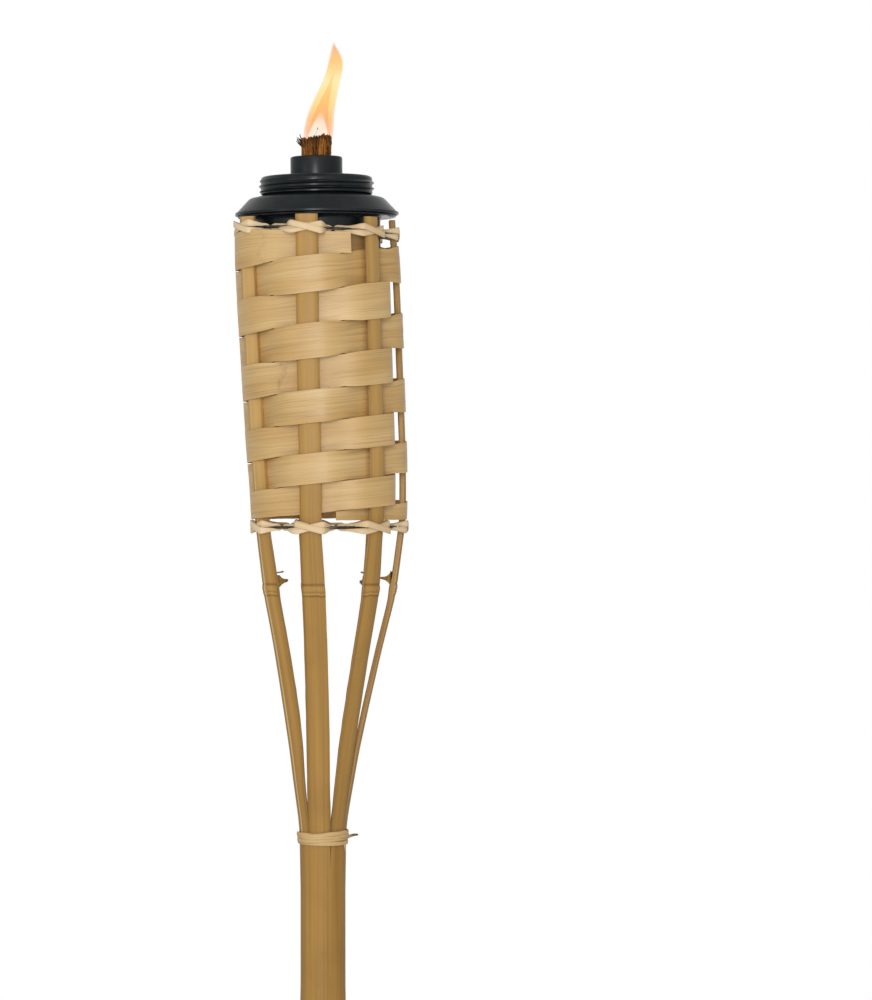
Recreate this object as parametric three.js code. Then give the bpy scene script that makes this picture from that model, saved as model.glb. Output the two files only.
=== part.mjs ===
// A bamboo garden torch: one culm of bamboo whose top is split into seven staves, spread into a
// basket by a woven strip and two wire hoops, with an oil canister hanging in the basket and a wick
// in the canister's screw cap. Millimetres, +Z up, origin at the middle of the pole's foot. The
// front is -Y, and azimuths are degrees from the front towards +X.
import * as THREE from 'three';
import { mergeVertices } from 'three/addons/utils/BufferGeometryUtils.js';

// ---- driving dimensions -------------------------------------------------------------------------
const GAP = 0.3; // clearance between pieces that touch on the real torch

const CULM_RADIUS = 13.5;
const SPLIT_RADIUS = 14.0; // the culm opens a little where its splits start
const CULM_WALL = 2.8;
const FOOT_WALL = 9; // the node that closes the culm at its foot
const SPLIT_Z = 1101.6; // pole below, staves above
const POLE_NODES = [250, 498, 748, 1000];
const NODE_SWELL = 0.9;
const STAVE_NODE_Z = 1251.6;

const STAVE_TOP_Z = 1473.2;
const STAVE_EDGES = [-38, 20.5, 65.5, 117.5, 158.5, 221, 270, 322]; // azimuths of the splits in the culm
const STAVE_NAMES = [
  'stave_front', 'stave_front_right', 'stave_right', 'stave_back_right',
  'stave_back', 'stave_back_left', 'stave_front_left',
];
const SPLIT_WIDTH = 1.2; // degrees of culm lost to each split
const STAVE_SHORT = [0, 1.3, 1.6, 0.5, 0, 1, 0]; // from the canister's rim down to each stave's top

// The outer radius of the ring of staves and how far its middle leans off the pole, by height.
const STAVE_RADIUS = [
  [1100, 14.0], [1110, 14.2], [1124, 16.5], [1154, 21.3], [1184, 27.0], [1214, 33.0],
  [1244, 39.8], [1262, 42.6], [1290, 46.3], [1335, 48.0], [1420, 49.2], [1445, 49.3], [1474, 48.2],
];
const LEAN = [[1100, 0], [1124, 0], [1154, 0.6], [1244, 3.1], [1304, 3.3], [1364, 0.3], [1474, -5.1]];

const STRIP_THICK = 0.6;
const STRIP_OVER = GAP + STRIP_THICK / 2; // from a stave's outer face to the strip outside it
const STRIP_UNDER = -4.9; // and to the middle of the strip behind it, past the stave's two corners
const STRIP_SLACK = 1.9; // how much further in the strip runs on the right side of the basket
const STRIP_TILT = 2.5; // degrees, the basket's lean
const STRIP_RISE = [[0, 1288], [1, 1305.5], [2, 1323.3], [4, 1359.7], [6, 1398.5], [8, 1437.9], [10.3, 1484.1]];
const STRIP_LAP = [[0, 0], [2, 0.5], [4, 1.1], [6, 1.8], [8, 2.4]]; // height past the pitch
const STRIP_CUTS = [0.053, 3.0, 6.143, 9.089]; // the strip's ends in turns, the middle two behind staves
const STRIP_BOTTOM_Z = 1292.6;
const STAVE_REACH = 9.5; // degrees either side of a stave where a strip lies along it

const HOOP_WIRE = 1.6;
const HOOP_OFFSET = -5.5; // from the staves' outer radius to the middle of the wire
const HOOPS = [
  { name: 'upper', z: 1465.2, tilt: -2 },
  { name: 'lower', z: 1288.4, tilt: 0 },
];
const LASHING_WIDTH = 3.4; // flat over a stave
const LASHING_PINCH = 0.5; // share of that width lost where it is bunched round the wire
const LASHING_THICK = 0.5;
const LASHING_SWING = 2; // how far a lashing rises and falls about its hoop

const BINDING = { bottom: 1097.2, top: 1105.8, wraps: 3, thick: 0.7 };

const HEAD_X = -3.5;
const HEAD_TILT = 0.6; // degrees, right side up
const CANISTER = { radius: 38, wall: 1, depth: 105, rim: 47.4, rimThick: 1 };
const COVER = { lip: 49, shoulder: 40.8, shoulderTop: 11.4, neck: 31.2, wall: 1.2, top: 22.1 };
const CAP = { root: 33.4, crest: 34.6, wall: 0.9, bottom: 14.3, top: 24.9, pitch: 3.4 };
const HOLDER = { radius: 15.6, top: 36.9, bore: 9.2, wall: 1 };
const WICK = { radius: 8.6, flare: 10.2, top: 50.8, bottom: -96 };

// ---- materials ----------------------------------------------------------------------------------
const material = (color, roughness, metalness = 0) => (
  new THREE.MeshStandardMaterial({ color, roughness, metalness })
);
const bamboo = material(0xb28c4b, 0.55);
const split = material(0xcdaf7d, 0.6);
const lash = material(0xe1c89b, 0.65);
const steel = material(0x4a4c4a, 0.45, 0.8);
const enamel = material(0x202424, 0.5);
const rubber = material(0x2a2a2a, 0.85);
const fibre = material(0x7a4a24, 0.95);

// ---- helpers ------------------------------------------------------------------------------------
const torch = new THREE.Group();
const radians = THREE.MathUtils.degToRad;
const mod = (value, by) => ((value % by) + by) % by;

// Straight-line interpolation in a list of [place, value].
function sample(table, at) {
  const next = table.findIndex(([place]) => place > at);
  if (next === 0) return table[0][1];
  if (next < 0) return table[table.length - 1][1];
  const [from, to] = [table[next - 1], table[next]];
  return THREE.MathUtils.mapLinear(at, from[0], to[0], from[1], to[1]);
}

// The same with its corners eased over a reach on either side.
function eased(table, at, reach) {
  return (sample(table, at - reach) + 2 * sample(table, at) + sample(table, at + reach)) / 4;
}

const staveRadius = (z) => eased(STAVE_RADIUS, z, 6);
const lean = (z) => eased(LEAN, z, 12);

// A point at a radius and azimuth about the leaning middle of the basket.
// The staves bow sideways too, the front ones to the left and the back ones with them: degrees at
// heights, for the front.
const BOW = [[1102, 0], [1140, -0.6], [1197, -2.5], [1240, -3.6], [1290, -5.2], [1335, -3.2],
  [1390, -1], [1465, 3]];
const bowed = (azimuth, z) => azimuth + eased(BOW, z, 12) * Math.cos(radians(azimuth));

function around(radius, azimuth, z) {
  const a = radians(bowed(azimuth, z));
  return new THREE.Vector3(lean(z) + radius * Math.sin(a), -radius * Math.cos(a), z);
}

function signedVolume(geometry) {
  const p = geometry.attributes.position;
  const index = geometry.index;
  const [a, b, c] = [new THREE.Vector3(), new THREE.Vector3(), new THREE.Vector3()];
  let sum = 0;
  for (let i = 0; i < index.count; i += 3) {
    a.fromBufferAttribute(p, index.getX(i));
    b.fromBufferAttribute(p, index.getX(i + 1));
    c.fromBufferAttribute(p, index.getX(i + 2));
    sum += a.dot(b.cross(c)) / 6;
  }
  return sum;
}

// One closed body with shared vertices and its faces turned outwards.
function closedBody(geometry) {
  geometry.deleteAttribute('normal');
  geometry.deleteAttribute('uv');
  const body = mergeVertices(geometry, 1e-4);
  if (signedVolume(body) < 0) body.index.array.reverse();
  body.computeVertexNormals();
  return body;
}

// A body through a row of rings with the same number of corners. It closes on itself, or its ends
// are capped.
function ringBody(rings, loop = false) {
  const size = rings[0].length;
  const indices = [];
  const spans = loop ? rings.length : rings.length - 1;
  for (let i = 0; i < spans; i += 1) {
    const here = i * size;
    const there = ((i + 1) % rings.length) * size;
    for (let j = 0; j < size; j += 1) {
      const k = (j + 1) % size;
      indices.push(here + j, here + k, there + k, here + j, there + k, there + j);
    }
  }
  if (!loop) {
    const last = (rings.length - 1) * size;
    const corners = rings[0].map((p) => new THREE.Vector2(p.u, p.v));
    for (const [a, b, c] of THREE.ShapeUtils.triangulateShape(corners, [])) {
      indices.push(a, c, b, last + a, last + b, last + c);
    }
  }
  const geometry = new THREE.BufferGeometry();
  const points = rings.flat().flatMap((p) => [p.x, p.y, p.z]);
  geometry.setAttribute('position', new THREE.Float32BufferAttribute(points, 3));
  geometry.setIndex(indices);
  return closedBody(geometry);
}

// A body of revolution about Z from a closed outline, or one that starts and ends on the axis.
function turned(outline, segments = 32) {
  const points = outline.map(([r, z]) => new THREE.Vector2(r, z));
  return closedBody(new THREE.LatheGeometry(points, segments).rotateX(Math.PI / 2));
}

function ring(outline, segments) {
  return turned([...outline, outline[0]], segments);
}

function add(parent, name, geometry, look) {
  const mesh = new THREE.Mesh(geometry, look);
  mesh.name = name;
  parent.add(mesh);
  return mesh;
}

// A corner of a ring, with its place in the flat section that the caps are cut from.
function corner(point, u, v) {
  return Object.assign(point, { u, v });
}

// ---- the culm: pole and staves --------------------------------------------------------------------
function poleOutline() {
  const outside = [[0, 0], [CULM_RADIUS - 0.8, 0], [CULM_RADIUS, 1]];
  for (const z of POLE_NODES) {
    for (const [step, swell] of [[-14, 0], [-5, 0.45], [-2, 1], [2, 0.8], [7, 0.3], [16, 0]]) {
      outside.push([CULM_RADIUS + swell * NODE_SWELL, z + step]);
    }
  }
  outside.push([CULM_RADIUS, SPLIT_Z - 30], [SPLIT_RADIUS, SPLIT_Z]);
  const bore = CULM_RADIUS - CULM_WALL;
  return [...outside, [bore, SPLIT_Z], [bore, FOOT_WALL], [0, FOOT_WALL]];
}

// How far the culm's ring of node ridges stands out of a stave.
function nodeSwell(z) {
  const step = (z - STAVE_NODE_Z) / 4;
  return NODE_SWELL * Math.exp(-step * step);
}

// A stave keeps the curve of the culm that it was split from, and is carried outwards by the splay.
// The staves are split a little wider below their node, each by its share of its width.
const BROAD = [0.06, 0.2, 0, 0, 0, 0, 0.3];
const BROAD_AT = [[1124, 0], [1160, 1], [1262, 1], [1281, 0]];

function staveGeometry(index) {
  const middle = (STAVE_EDGES[index] + STAVE_EDGES[index + 1]) / 2;
  const split = (STAVE_EDGES[index + 1] - STAVE_EDGES[index] - SPLIT_WIDTH) / 2;
  const topZ = STAVE_TOP_Z - STAVE_SHORT[index];
  const heights = [SPLIT_Z + GAP, 1112, 1124, 1139, 1169, 1214, 1238, 1246, 1250, 1254, 1259, 1270,
    1281, 1292, 1304, 1335, 1364, 1394, 1420, 1445, 1460, topZ];
  const arc = [-1, -0.5, 0, 0.5, 1];
  const rings = heights.map((z) => {
    const carried = staveRadius(z) - SPLIT_RADIUS;
    const half = split * (1 + BROAD[index] * sample(BROAD_AT, z));
    const place = (radius, turn) => {
      const p = around(carried, middle, z);
      const a = radians(bowed(middle, z) + turn * half);
      p.x += radius * Math.sin(a);
      p.y -= radius * Math.cos(a);
      if (z === topZ) p.z += (p.x - HEAD_X) * Math.tan(radians(HEAD_TILT));
      return corner(p, p.x, p.y);
    };
    const outer = arc.map((turn) => place(SPLIT_RADIUS + nodeSwell(z), turn));
    const inner = arc.map((turn) => place(SPLIT_RADIUS - CULM_WALL, -turn));
    return [...outer, ...inner];
  });
  return ringBody(rings);
}

function addCulm() {
  add(torch, 'pole', turned(poleOutline(), 24), bamboo);
  STAVE_NAMES.forEach((name, i) => {
    add(torch, name, staveGeometry(i), bamboo);
  });
}

// ---- the woven strip ------------------------------------------------------------------------------
const staveAzimuth = (i) => {
  const turn = Math.floor(i / 7);
  const stave = mod(i, 7);
  return 360 * turn + (STAVE_EDGES[stave] + STAVE_EDGES[stave + 1]) / 2;
};

// Where a strip is between two staves: the stave it comes from and its share of the way across.
function betweenStaves(azimuth) {
  let from = Math.floor((azimuth - staveAzimuth(0)) / 360 * 7) - 1;
  while (staveAzimuth(from + 1) <= azimuth) from += 1;
  const start = staveAzimuth(from);
  const end = staveAzimuth(from + 1);
  const free = (azimuth - start - STAVE_REACH) / (end - start - 2 * STAVE_REACH);
  return { from, free, along: (azimuth - start) / STAVE_REACH, left: (end - azimuth) / STAVE_REACH };
}

const clamp = (x) => Math.min(Math.max(x, 0), 1);
const swing = (x) => Math.cos(Math.PI * clamp(x)); // 1 at one stave, -1 at the next

// The strip at a place along it, given in turns: its azimuth, its middle's place outside the staves'
// outer faces, its top and its bottom.
function stripAt(turns) {
  const azimuth = staveAzimuth(0) + 360 * turns;
  const { from, free } = betweenStaves(azimuth);
  const side = mod(from, 2) === 0 ? swing(free) : -swing(free);
  const under = STRIP_UNDER - STRIP_SLACK * Math.max(Math.sin(radians(azimuth)), 0);
  const offset = (STRIP_OVER + under) / 2 + side * (STRIP_OVER - under) / 2;
  const rise = sample(STRIP_RISE, turns);
  const across = staveRadius(rise) * Math.sin(radians(azimuth));
  const middle = rise + across * Math.tan(radians(STRIP_TILT));
  const pitchBelow = rise - sample(STRIP_RISE, turns - 1);
  const pitchAbove = sample(STRIP_RISE, turns + 1) - rise;
  // Two turns cross half way between staves, and are only as tall as the pitch there.
  const lap = (sample(STRIP_LAP, turns) + GAP) * Math.abs(swing(free)) - GAP;
  const underLashing = HOOPS[0].z + across * Math.tan(radians(HOOPS[0].tilt))
    - LASHING_SWING - LASHING_WIDTH / 2 - GAP;
  const top = Math.min(middle + (pitchAbove + lap) / 2, underLashing);
  const bottom = Math.max(middle - (pitchBelow + lap) / 2, STRIP_BOTTOM_Z);
  return { azimuth, offset, top, bottom };
}

const STRIP_STEPS = [0, 0.18, 0.34, 0.5, 0.66, 0.82]; // places across one span between staves

function stripPlaces(start, end) {
  const places = [start];
  for (let i = -1; i < 70; i += 1) {
    for (const step of STRIP_STEPS) {
      const azimuth = THREE.MathUtils.lerp(staveAzimuth(i), staveAzimuth(i + 1), step);
      const turns = (azimuth - staveAzimuth(0)) / 360;
      if (turns > start + 0.004 && turns < end - 0.004) places.push(turns);
    }
  }
  return [...places, end];
}

function stripGeometry(start, end) {
  const rings = stripPlaces(start, end).map((turns) => {
    const { azimuth, offset, top, bottom } = stripAt(turns);
    const half = STRIP_THICK / 2;
    return [[-half, bottom], [half, bottom], [half, top], [-half, top]].map(([out, z]) => (
      corner(around(staveRadius(z) + offset + out, azimuth, z), out, z)
    ));
  });
  return ringBody(rings);
}

function addWeave() {
  const joint = GAP / 2 / (2 * Math.PI * staveRadius(1400)); // half a gap, in turns
  ['lower', 'middle', 'upper'].forEach((name, i) => {
    const start = STRIP_CUTS[i] + (i > 0 ? joint : 0);
    const end = STRIP_CUTS[i + 1] - (i < 2 ? joint : 0);
    add(torch, `weave_strip_${name}`, stripGeometry(start, end), split);
  });
}

// ---- hoops and their lashings ---------------------------------------------------------------------
function hoopPoint(hoop, radius, azimuth, rise) {
  const p = around(radius, azimuth, hoop.z + rise);
  p.z += radius * Math.sin(radians(azimuth)) * Math.tan(radians(hoop.tilt));
  return p;
}

// A lashing crosses each stave on a slant, goes in past the wire, crosses behind it and comes out on
// its other side. The inner one (layer 0) rises over the staves and the outer one (layer 1) falls.
function lashingAt(hoop, layer, azimuth) {
  const { free, along, left } = betweenStaves(azimuth);
  const clear = GAP + LASHING_THICK / 2 + layer * (GAP + LASHING_THICK);
  const over = staveRadius(hoop.z) + clear;
  const behind = staveRadius(hoop.z) + HOOP_OFFSET - HOOP_WIRE / 2 - clear;
  const near = Math.min(free, 1 - free);
  let rise = swing((free - 0.3) / 0.4);
  if (free <= 0) rise = along;
  if (free >= 1) rise = -left;
  return {
    radius: THREE.MathUtils.lerp(over, behind, (1 - swing(near / 0.28)) / 2),
    rise: rise * (layer === 0 ? LASHING_SWING : -LASHING_SWING),
    width: LASHING_WIDTH * (1 - LASHING_PINCH * (1 - swing(near / 0.18)) / 2),
  };
}

const LASHING_STEPS = [0, 0.19, 0.26, 0.33, 0.42, 0.5, 0.58, 0.67, 0.74, 0.81];

function lashingGeometry(hoop, layer) {
  const places = [];
  for (let i = 0; i < 7; i += 1) {
    for (const step of LASHING_STEPS) {
      places.push(THREE.MathUtils.lerp(staveAzimuth(i), staveAzimuth(i + 1), step));
    }
  }
  const route = places.map((azimuth) => lashingAt(hoop, layer, azimuth));
  const path = route.map(({ radius, rise }, i) => hoopPoint(hoop, radius, places[i], rise));
  const rings = path.map((p, i) => {
    const ahead = path[(i + 1) % path.length];
    const back = path[mod(i - 1, path.length)];
    const along = new THREE.Vector3().subVectors(ahead, back).setZ(0).normalize();
    const outwards = new THREE.Vector3(along.y, -along.x, 0);
    return [[-1, -1], [1, -1], [1, 1], [-1, 1]].map(([out, up]) => {
      const q = p.clone().addScaledVector(outwards, out * LASHING_THICK / 2);
      q.z += up * route[i].width / 2;
      return corner(q, out, up);
    });
  });
  return ringBody(rings, true);
}

function hoopGeometry(hoop) {
  const radius = staveRadius(hoop.z) + HOOP_OFFSET;
  const geometry = new THREE.TorusGeometry(radius, HOOP_WIRE / 2, 6, 42);
  geometry.rotateY(-radians(hoop.tilt));
  return closedBody(geometry);
}

function addHoops() {
  for (const hoop of HOOPS) {
    const wire = add(torch, `hoop_${hoop.name}`, hoopGeometry(hoop), steel);
    wire.position.set(lean(hoop.z), 0, hoop.z);
    add(torch, `lashing_${hoop.name}_inner`, lashingGeometry(hoop, 0), lash);
    add(torch, `lashing_${hoop.name}_outer`, lashingGeometry(hoop, 1), lash);
  }
}

// The strip wound round the culm where the splits start, each turn standing out from the last.
function addBinding() {
  const inner = SPLIT_RADIUS + 0.6;
  const wrap = (BINDING.top - BINDING.bottom) / BINDING.wraps;
  const outline = [[inner, BINDING.bottom]];
  for (let i = 0; i < BINDING.wraps; i += 1) {
    const z = BINDING.bottom + i * wrap;
    outline.push([inner + BINDING.thick, z], [inner + BINDING.thick - 0.25, z + wrap]);
  }
  outline.push([inner, BINDING.top]);
  add(torch, 'pole_binding', ring(outline, 24), lash);
}

// ---- the head: canister, cover, screw cap and wick ------------------------------------------------
// Heights here are above the tops of the staves, along the head's own slightly tilted axis.
function canisterOutline() {
  const { radius, wall, depth, rim, rimThick } = CANISTER;
  const seat = GAP;
  return [
    [0, -depth], [radius - 4, -depth], [radius - 1, -depth + 1.5], [radius, -depth + 5],
    [radius, seat - 1.5], [radius + 1.5, seat], [rim, seat], [rim, seat + rimThick],
    [radius - wall + 1.5, seat + rimThick], [radius - wall, seat - 1.5],
    [radius - wall, -depth + 5], [radius - 4, -depth + wall + 1], [0, -depth + wall + 1],
  ];
}

function coverOutline() {
  const { lip, shoulder, shoulderTop, neck, wall, top } = COVER;
  const bottom = 2 * GAP + CANISTER.rimThick;
  return [
    [lip - wall, bottom], [lip, bottom], [lip, bottom + 1.6], [lip - 0.6, bottom + 2],
    [shoulder, shoulderTop], [shoulder - 1.4, shoulderTop + 0.8], [neck + 2.4, shoulderTop + 1.8],
    [neck, shoulderTop + 2.4], [neck, top - 0.4], [neck - 0.4, top], [neck - wall, top],
    [neck - wall, shoulderTop + 1.2], [shoulder - 1.8, shoulderTop - 0.6],
    [shoulder - 0.8, shoulderTop - 1.4], [lip - wall - 0.4, bottom + 1.3],
  ];
}

// The cap's skirt is rolled into thread ridges that show on its outside.
function capOutline() {
  const { root, crest, wall, bottom, top, pitch } = CAP;
  const skirt = [[root - wall, bottom], [root, bottom]];
  for (let z = bottom + 0.2; z + pitch < top; z += pitch) {
    skirt.push([root, z + 0.4], [crest, z + 1.6], [crest, z + 2.4], [root, z + 3.6]);
  }
  const stem = HOLDER.bore + HOLDER.wall + GAP;
  return [...skirt, [root - 0.2, top - 0.7], [root - 1.2, top], [stem, top], [stem, top - wall],
    [root - wall, top - wall]];
}

function holderOutline() {
  const { radius, top, bore, wall } = HOLDER;
  const seat = CAP.top + GAP;
  return [
    [bore, -20], [bore + wall, -20], [bore + wall, top - wall], [radius - wall, top - wall],
    [radius - wall, seat], [radius, seat], [radius, top - 0.8], [radius - 0.8, top], [bore, top],
  ];
}

function wickOutline() {
  const { radius, flare, top, bottom } = WICK;
  const clear = HOLDER.top;
  return [
    [0, bottom], [radius - 1, bottom], [radius, bottom + 2], [radius, clear],
    [radius + 0.1, clear + 4.5], [flare, top - 3], [flare - 1.2, top - 0.6], [0, top],
  ];
}

function addHead() {
  const head = new THREE.Group();
  head.position.set(HEAD_X, 0, STAVE_TOP_Z);
  head.rotation.y = -radians(HEAD_TILT);
  torch.add(head);
  add(head, 'canister', turned(canisterOutline()), enamel);
  add(head, 'canister_cover', ring(coverOutline()), enamel);
  const seal = [[COVER.neck - 4, COVER.top + GAP], [COVER.neck, COVER.top + GAP],
    [COVER.neck, CAP.top - CAP.wall - GAP], [COVER.neck - 4, CAP.top - CAP.wall - GAP]];
  add(head, 'cap_seal', ring(seal), rubber);
  add(head, 'screw_cap', ring(capOutline()), enamel);
  add(head, 'wick_holder', ring(holderOutline(), 24), enamel);
  add(head, 'wick', turned(wickOutline(), 16), fibre);
}

addCulm();
addWeave();
addHoops();
addBinding();
addHead();

export default torch;
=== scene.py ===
"""A bamboo garden torch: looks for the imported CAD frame. Lengths are millimetres unless a name says
otherwise; azimuths are degrees from the front (-Y) towards +X."""
import random
from contextlib import contextmanager
from math import cos, degrees, exp, floor, pi, radians, sin, tan, tanh

import bmesh
import bpy
import numpy as np
from mathutils import Matrix, Vector, noise


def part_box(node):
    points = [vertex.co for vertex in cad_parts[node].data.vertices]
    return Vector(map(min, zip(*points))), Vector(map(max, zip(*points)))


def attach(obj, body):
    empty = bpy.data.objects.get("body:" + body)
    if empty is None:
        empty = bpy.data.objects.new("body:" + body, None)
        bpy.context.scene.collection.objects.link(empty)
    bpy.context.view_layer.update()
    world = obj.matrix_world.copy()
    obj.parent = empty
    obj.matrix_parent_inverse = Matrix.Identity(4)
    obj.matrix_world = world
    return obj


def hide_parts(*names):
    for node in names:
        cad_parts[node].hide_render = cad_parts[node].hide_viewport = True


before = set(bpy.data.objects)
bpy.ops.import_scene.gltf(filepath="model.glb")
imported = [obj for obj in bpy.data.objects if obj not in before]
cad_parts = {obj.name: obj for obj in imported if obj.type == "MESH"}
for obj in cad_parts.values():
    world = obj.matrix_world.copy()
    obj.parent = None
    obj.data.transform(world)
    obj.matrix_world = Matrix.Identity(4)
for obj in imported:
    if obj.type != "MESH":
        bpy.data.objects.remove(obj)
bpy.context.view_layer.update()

MM = 0.001
M = 1000


def box_mm(node):
    return np.array(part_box(node)) * M


def bell(x):
    """A smooth bump: 1 where x is 0, and next to nothing past 2 on either side."""
    return exp(-x * x)


def held(x):
    return min(max(x, 0), 1)


def lookup(table, at):
    return np.interp(at, *zip(*table))


def polar(radius, angle, z):
    """The point at a distance from the axis and an angle, in radians, from the front."""
    return np.array((radius * sin(angle), -radius * cos(angle), z))


def circle(sides):
    return [2 * pi * s / sides for s in range(sides)]


def uneven(*place):
    """Smooth noise between -1 and 1, by three numbers."""
    return noise.noise(Vector(place))


# ---- camera ----
CAMERA_DISTANCE = 2400
EYE_HEIGHT = 1322
LENS = 144
YAW, PITCH = 1.62, 0.42  # degrees that the view turns right of the pole and down
FAR_CLIP_M = 60


def scene_object(name, data):
    obj = bpy.data.objects.new(name, data)
    bpy.context.scene.collection.objects.link(obj)
    return obj


def add_camera():
    data = bpy.data.cameras.new("camera")
    data.lens = LENS
    data.clip_end = FAR_CLIP_M
    camera = scene_object("camera", data)
    camera.location = (0, -CAMERA_DISTANCE * MM, EYE_HEIGHT * MM)
    camera.rotation_euler = (radians(90 - PITCH), 0, radians(-YAW))
    bpy.context.scene.camera = camera


# ---- the shape shared with the CAD model ----
GAP = 0.3
CULM_RADIUS = 13.5
SPLIT_RADIUS = 14.0
CULM_WALL = 2.8
FOOT_WALL = 9
POLE_NODES = (250, 498, 748, 1000)
NODE_SWELL = 0.9
STAVE_NODE_Z = 1251.6
STAVE_EDGES = (-38, 20.5, 65.5, 117.5, 158.5, 221, 270, 322)
STAVE_NAMES = (
    "stave_front", "stave_front_right", "stave_right", "stave_back_right",
    "stave_back", "stave_back_left", "stave_front_left",
)
SPLIT_WIDTH = 1.2
STAVE_SHORT = (0, 1.3, 1.6, 0.5, 0, 1, 0)
STAVE_RADIUS = (
    (1100, 14.0), (1110, 14.2), (1124, 16.5), (1154, 21.3), (1184, 27.0), (1214, 33.0),
    (1244, 39.8), (1262, 42.6), (1290, 46.3), (1335, 48.0), (1420, 49.2), (1445, 49.3),
    (1474, 48.2),
)
LEAN = ((1100, 0), (1124, 0), (1154, 0.6), (1244, 3.1), (1304, 3.3), (1364, 0.3), (1474, -5.1))
STRIP_THICK = 0.6
STRIP_OVER = GAP + STRIP_THICK / 2
STRIP_UNDER = -4.9
STRIP_SLACK = 1.9
STRIP_TILT = 2.5
STRIP_RISE = (
    (0, 1288), (1, 1305.5), (2, 1323.3), (4, 1359.7), (6, 1398.5), (8, 1437.9), (10.3, 1484.1),
)
STRIP_LAP = ((0, 0), (2, 0.5), (4, 1.1), (6, 1.8), (8, 2.4))
STRIP_START, STRIP_END = 0.053, 9.089
STRIP_BOTTOM_Z = 1292.6
STRIP_TUCK = 2.2  # how far the last turn's edge is tucked behind the lashing
STAVE_REACH = 9.5
HOOP_WIRE = 1.6
HOOP_OFFSET = -5.5
HOOPS = ({"name": "upper", "z": 1465.2, "tilt": -2}, {"name": "lower", "z": 1288.4, "tilt": 0})
LASHING_WIDTH = 3.4
LASHING_THICK = 0.5
LASHING_CROWN = 0.12
LASHING_SWING = 2
LASHING_PINCH = 0.6
HEAD_X = -3.5
HEAD_TILT = 0.6

SPLIT_Z = box_mm("pole")[1][2]
STAVE_TOP_Z = 1473.2


def eased(table, at, reach):
    """A table's value with its corners rounded off over a reach."""
    return sum(lookup(table, at + step) for step in (-reach, 0, 0, reach)) / 4


def stave_radius(z):
    return eased(STAVE_RADIUS, z, 6)


def lean(z):
    return eased(LEAN, z, 12)


# The staves bow sideways, the front ones to the left and the back ones with them.
BOW = (
    (1102, 0), (1140, -0.6), (1197, -2.5), (1240, -3.6), (1290, -5.2), (1335, -3.2), (1390, -1),
    (1465, 3),
)


def bowed(azimuth, z):
    return azimuth + eased(BOW, z, 12) * cos(radians(azimuth))


def around(radius, azimuth, z):
    return polar(radius, radians(bowed(azimuth, z)), z) + (lean(z), 0, 0)


def stave_azimuth(i):
    """The middle of a stave, counted on round the basket over all its turns."""
    turn, stave = divmod(i, 7)
    return 360 * turn + (STAVE_EDGES[stave] + STAVE_EDGES[stave + 1]) / 2


def between_staves(azimuth):
    """The stave before a place, how far across the free gap after it the place is, and its distance
    from the middles of this stave and the next, in reaches of a stave."""
    start_from = floor((azimuth - stave_azimuth(0)) / 360 * 7) - 1
    while stave_azimuth(start_from + 1) <= azimuth:
        start_from += 1
    start, end = stave_azimuth(start_from), stave_azimuth(start_from + 1)
    free = (azimuth - start - STAVE_REACH) / (end - start - 2 * STAVE_REACH)
    return start_from, free, (azimuth - start) / STAVE_REACH, (end - azimuth) / STAVE_REACH


def swing(x):
    return cos(pi * held(x))


def slope(tilt):
    return tan(radians(tilt))


# ---- mesh helpers ----
SHARP = 38  # degrees between faces past which an edge is drawn sharp


@contextmanager
def edited(obj):
    mesh = bmesh.new()
    mesh.from_mesh(obj.data)
    yield mesh
    mesh.to_mesh(obj.data)
    mesh.free()


def finish_mesh(obj, sharp=SHARP):
    """Smooth faces with sharp edges kept, and outward normals."""
    with edited(obj) as mesh:
        bmesh.ops.recalc_face_normals(mesh, faces=mesh.faces)
        for edge in mesh.edges:
            edge.smooth = len(edge.link_faces) != 2 or edge.calc_face_angle() < radians(sharp)
        for face in mesh.faces:
            face.smooth = True
    return obj


def set_marks(obj, marks):
    """Gives each vertex its "mark", which the materials read."""
    attribute = obj.data.attributes.new("mark", "FLOAT", "POINT")
    attribute.data.foreach_set("value", np.asarray(marks, np.float32).ravel())


def new_object(name, points, faces, materials, body):
    """A piece from points in millimetres, riding on a body."""
    mesh = bpy.data.meshes.new(name)
    mesh.from_pydata([tuple(p * MM) for p in np.asarray(points)], [], faces)
    for material in materials:
        mesh.materials.append(material)
    obj = scene_object(name, mesh)
    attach(obj, body)
    return obj


def path_lengths(points):
    """Distances in metres along a path that ends where it starts."""
    steps = np.linalg.norm(np.diff(points, axis=0, append=points[:1]), axis=1)
    return np.concatenate(([0], np.cumsum(steps))) * MM


def skin_faces(count, size, loop=False, closed=True, first=0):
    """The faces of a skin through so many rings of points, numbered from first. closed joins each
    ring's last point to its first, and loop the last ring to the first; a tube has both ends capped."""
    faces = []
    for i in range(count if loop else count - 1):
        here, there = first + i * size, first + (i + 1) % count * size
        for j in range(size if closed else size - 1):
            k = (j + 1) % size
            faces.append((here + j, here + k, there + k, there + j))
    if closed and not loop:
        last = first + (count - 1) * size
        faces.append(tuple(range(first, first + size))[::-1])
        faces.append(tuple(range(last, last + size)))
    return faces


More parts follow.
